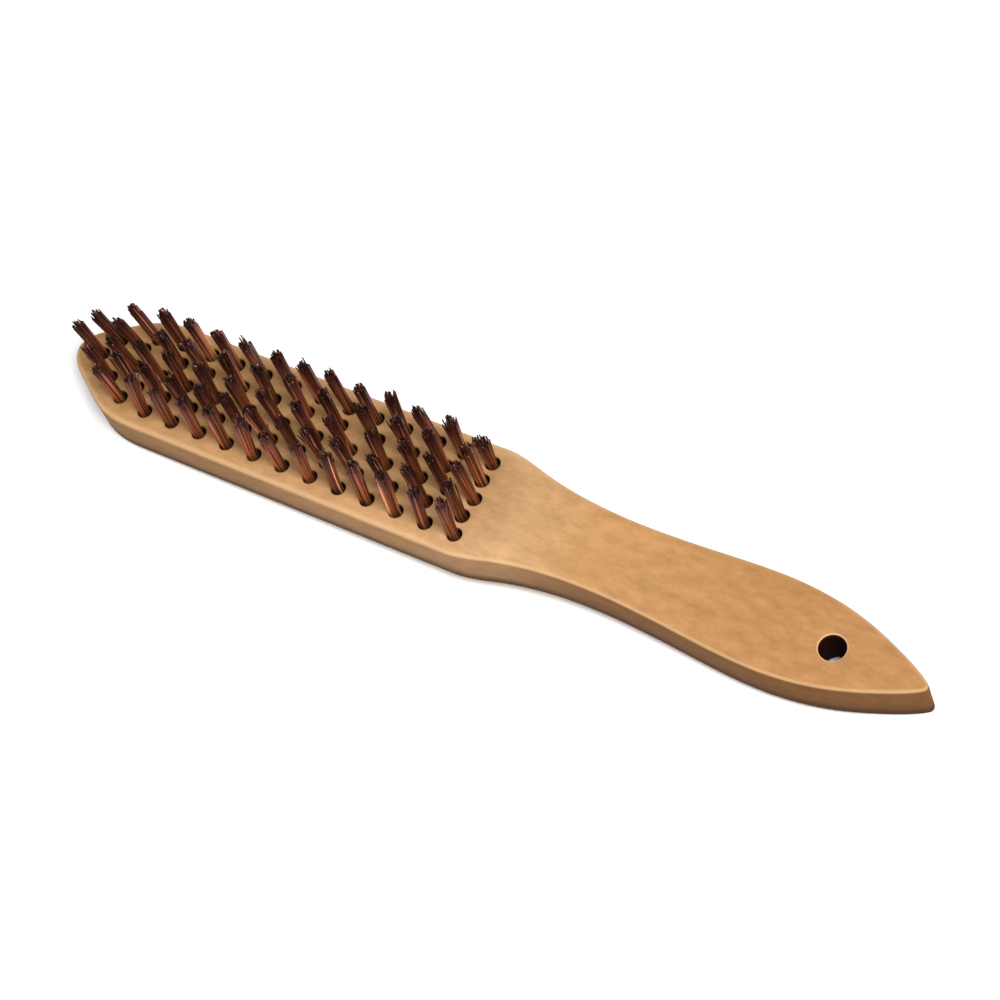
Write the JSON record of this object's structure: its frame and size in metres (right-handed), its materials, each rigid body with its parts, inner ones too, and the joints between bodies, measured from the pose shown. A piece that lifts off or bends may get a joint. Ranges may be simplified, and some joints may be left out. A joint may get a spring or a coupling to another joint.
{
  "type": "wire brush",
  "caption": "Hand wire scratch brush: a curved hardwood block with a waisted grip, a hang hole and staggered rows of folded steel wire tufts held by flat anchors.",
  "frame": {"origin": "on the head's flat back, midway along the outer rows of tufts and midway across the head", "axes": "+X along the brush towards the handle's tip, +Z out of the bristle face, the way the tufts point"},
  "size_m": [0.291, 0.0376, 0.0413],
  "materials": {
    "wood": "sanded bare hardwood",
    "wire": "dark coppery spring wire",
    "anchor_steel": "plain flat wire"
  },
  "bodies": {
    "root": {"anchors_even_rows_01": "anchor_steel", "anchors_even_rows_02": "anchor_steel", "anchors_even_rows_03": "anchor_steel", "anchors_even_rows_04": "anchor_steel", "anchors_even_rows_05": "anchor_steel", "anchors_even_rows_06": "anchor_steel", "anchors_even_rows_07": "anchor_steel", "anchors_even_rows_08": "anchor_steel", "anchors_even_rows_09": "anchor_steel", "anchors_even_rows_10": "anchor_steel", "anchors_even_rows_11": "anchor_steel", "anchors_even_rows_12": "anchor_steel", "anchors_even_rows_13": "anchor_steel", "anchors_odd_rows_01": "anchor_steel", "anchors_odd_rows_02": "anchor_steel", "anchors_odd_rows_03": "anchor_steel", "anchors_odd_rows_04": "anchor_steel", "anchors_odd_rows_05": "anchor_steel", "anchors_odd_rows_06": "anchor_steel", "anchors_odd_rows_07": "anchor_steel", "anchors_odd_rows_08": "anchor_steel", "anchors_odd_rows_09": "anchor_steel", "anchors_odd_rows_10": "anchor_steel", "anchors_odd_rows_11": "anchor_steel", "anchors_odd_rows_12": "anchor_steel", "anchors_odd_rows_13": "anchor_steel", "handle_block": "wood", "tufts_even_rows_01": "wire", "tufts_even_rows_02": "wire", "tufts_even_rows_03": "wire", "tufts_even_rows_04": "wire", "tufts_even_rows_05": "wire", "tufts_even_rows_06": "wire", "tufts_even_rows_07": "wire", "tufts_even_rows_08": "wire", "tufts_even_rows_09": "wire", "tufts_even_rows_10": "wire", "tufts_even_rows_11": "wire", "tufts_even_rows_12": "wire", "tufts_even_rows_13": "wire", "tufts_odd_rows_01": "wire", "tufts_odd_rows_02": "wire", "tufts_odd_rows_03": "wire", "tufts_odd_rows_04": "wire", "tufts_odd_rows_05": "wire", "tufts_odd_rows_06": "wire", "tufts_odd_rows_07": "wire", "tufts_odd_rows_08": "wire", "tufts_odd_rows_09": "wire", "tufts_odd_rows_10": "wire", "tufts_odd_rows_11": "wire", "tufts_odd_rows_12": "wire", "tufts_odd_rows_13": "wire"}
  },
  "joints": []
}
